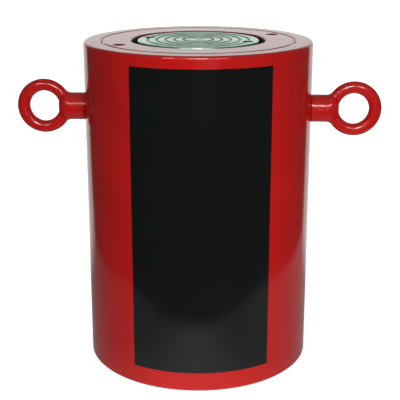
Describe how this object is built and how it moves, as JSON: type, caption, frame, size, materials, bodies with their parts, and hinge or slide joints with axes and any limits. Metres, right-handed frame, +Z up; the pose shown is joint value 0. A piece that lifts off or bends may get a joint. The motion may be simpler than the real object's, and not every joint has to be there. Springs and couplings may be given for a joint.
{
  "type": "hydraulic cylinder",
  "caption": "Short, thick, single acting hydraulic cylinder in red enamel: a stop ring flush in its mouth, a grooved saddle, a lifting eye at each side and a capped coupler at the back.",
  "frame": {"origin": "centre of the base's underside, on the cylinder's axis", "axes": "+Z up along the cylinder's axis, +X to the right lifting eye, +Y to the back, where the coupler is"},
  "size_m": [0.3322, 0.2421, 0.296],
  "materials": {
    "red_enamel": "gloss baked enamel",
    "polyurethane": "moulded, satin",
    "nitrile_rubber": "moulded, matt",
    "bearing_band": "bronze-filled, matt",
    "nylon": "machined, matt",
    "hard_chrome": "ground and hard chromed",
    "plated_saddle_steel": "turned and zinc plated, with a faint green tint",
    "black_oxide_steel": "black oxide",
    "zinc_plated_steel": "turned and zinc plated",
    "spring_steel": "drawn wire",
    "brass": "turned",
    "cap_plastic": "moulded, satin"
  },
  "bodies": {
    "root": {"cylinder_body": "red_enamel", "stop_ring": "red_enamel", "lifting_eye_left": "red_enamel", "lifting_eye_right": "red_enamel", "rod_wiper": "polyurethane", "gland_guide_ring": "bearing_band", "stop_ring_o_ring": "nitrile_rubber", "coupler_body": "zinc_plated_steel", "coupler_spring": "spring_steel", "coupler_spring_seat": "brass", "coupler_snap_ring": "spring_steel", "coupler_mouth_seal": "nitrile_rubber"},
    "plunger": {"plunger": "hard_chrome", "piston_seal": "nitrile_rubber", "seal_backup_ring": "nylon", "piston_guide_ring_lower": "bearing_band", "piston_guide_ring_upper": "bearing_band", "saddle": "plated_saddle_steel", "saddle_screw_left": "black_oxide_steel", "saddle_screw_right": "black_oxide_steel"},
    "poppet": {"coupler_poppet": "zinc_plated_steel"},
    "dust_cap": {"dust_cap": "cap_plastic"}
  },
  "joints": [
    {"name": "plunger_slide", "type": "slide", "parent": "root", "child": "plunger", "axis": [0, 0, 1], "range_m": [0, 0.15]},
    {"name": "poppet_slide", "type": "slide", "parent": "root", "child": "poppet", "axis": [0, -1, 0], "range_m": [0, 0.0035], "stiffness_N_per_m": 1500, "springref_m": -0.004, "deforming": ["coupler_spring"]},
    {"name": "dust_cap_off", "type": "slide", "parent": "root", "child": "dust_cap", "axis": [0, 1, 0], "range_m": [0, 0.035]}
  ]
}
